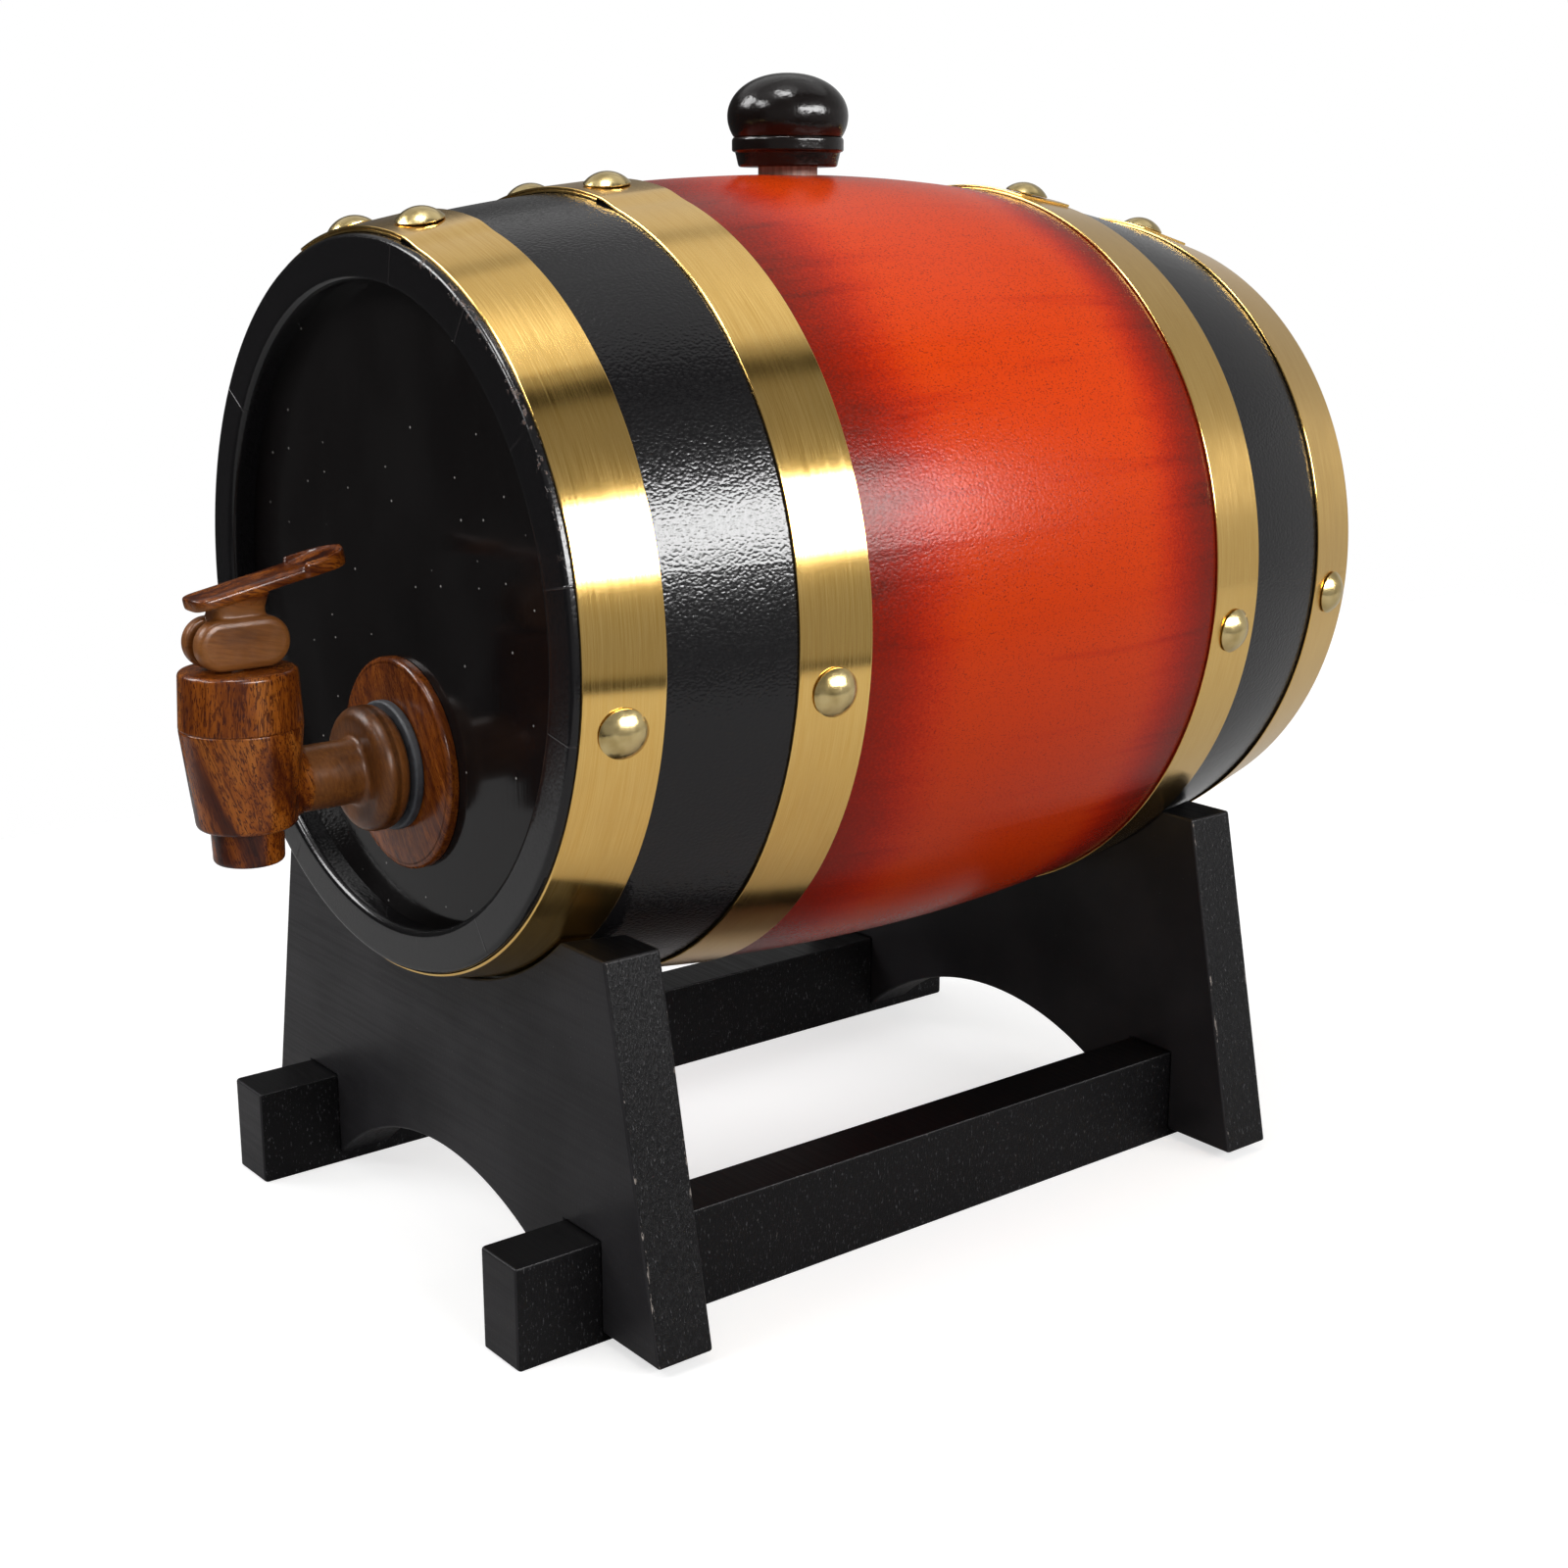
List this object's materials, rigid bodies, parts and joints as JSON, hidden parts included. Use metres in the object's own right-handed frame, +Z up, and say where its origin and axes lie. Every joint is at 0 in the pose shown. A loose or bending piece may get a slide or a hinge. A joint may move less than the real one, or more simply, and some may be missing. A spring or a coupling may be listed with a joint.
{
  "type": "oak cask liquor dispenser",
  "caption": "Small coopered cask with riveted brass hoops, a lever tap in its front head and a pull-out stopper, lying on a black wooden stand.",
  "frame": {"origin": "on the floor, below the middle of the whole object's box", "axes": "+Z up; the cask lies along Y with its tap pointing along -Y; +X is to the right seen from the front"},
  "size_m": [0.1556, 0.2354, 0.2231],
  "materials": {
    "stained_oak": "gloss lacquer over an orange-red stain that fades to black at the hoops and ends",
    "black_lacquered_oak": "gloss black lacquer",
    "hoop_brass": "brushed along the strip",
    "rivet_brass": "polished",
    "black_turned_wood": "gloss black lacquer, rubbed red-brown in the groove",
    "pale_wood": "bare turned",
    "wood_print_plastic": "gloss, printed with wood grain",
    "grey_rubber": "satin",
    "white_plastic": "moulded satin",
    "black_rubber": "matt",
    "black_stand_wood": "satin black paint with open end grain",
    "steel": "zinc plated"
  },
  "bodies": {
    "stand": {"front_board": "black_stand_wood", "back_board": "black_stand_wood", "left_rail": "black_stand_wood", "right_rail": "black_stand_wood", "stand_screws": "steel"},
    "cask": {"stave_1": "stained_oak", "stave_2": "stained_oak", "stave_3": "stained_oak", "stave_4": "stained_oak", "stave_5": "stained_oak", "stave_6": "stained_oak", "stave_7": "stained_oak", "stave_8": "stained_oak", "stave_9": "stained_oak", "stave_10": "stained_oak", "stave_11": "stained_oak", "stave_12": "stained_oak", "stave_13": "stained_oak", "stave_14": "stained_oak", "stave_15": "stained_oak", "stave_16": "stained_oak", "front_head": "black_lacquered_oak", "back_head": "black_lacquered_oak", "front_end_hoop": "hoop_brass", "front_inner_hoop": "hoop_brass", "back_inner_hoop": "hoop_brass", "back_end_hoop": "hoop_brass", "front_end_rivets": "rivet_brass", "front_inner_rivets": "rivet_brass", "back_inner_rivets": "rivet_brass", "back_end_rivets": "rivet_brass", "tap_plate": "wood_print_plastic", "tap_washer": "grey_rubber", "tap_body": "wood_print_plastic", "tap_cap": "wood_print_plastic", "tap_gasket": "grey_rubber", "tap_nut": "white_plastic"},
    "stopper": {"stopper_knob": "black_turned_wood", "stopper_plug": "pale_wood"},
    "plunger": {"valve_plunger": "white_plastic", "valve_seal": "black_rubber", "valve_spring": "steel"},
    "lever": {"tap_lever": "wood_print_plastic"}
  },
  "joints": [
    {"name": "cask_lift", "type": "slide", "parent": "stand", "child": "cask", "axis": [0, 0, 1], "range_m": [0, 0.06]},
    {"name": "stopper_pull", "type": "slide", "parent": "cask", "child": "stopper", "axis": [0, 0, 1], "range_m": [0, 0.025]},
    {"name": "plunger_slide", "type": "slide", "parent": "cask", "child": "plunger", "axis": [0, 0, 1], "range_m": [0, 0.00408], "stiffness_N_per_m": 60, "springref_m": -0.01, "deforming": ["valve_spring"]},
    {"name": "lever_tilt", "type": "hinge", "parent": "plunger", "child": "lever", "pos_m": [0, -0.1068, 0.12385], "axis": [1, 0, 0], "range_deg": [0, 60]}
  ],
  "couplings": [
    {"joint": "lever_tilt", "follows": "plunger_slide", "rad_per_m": 256.4}
  ]
}
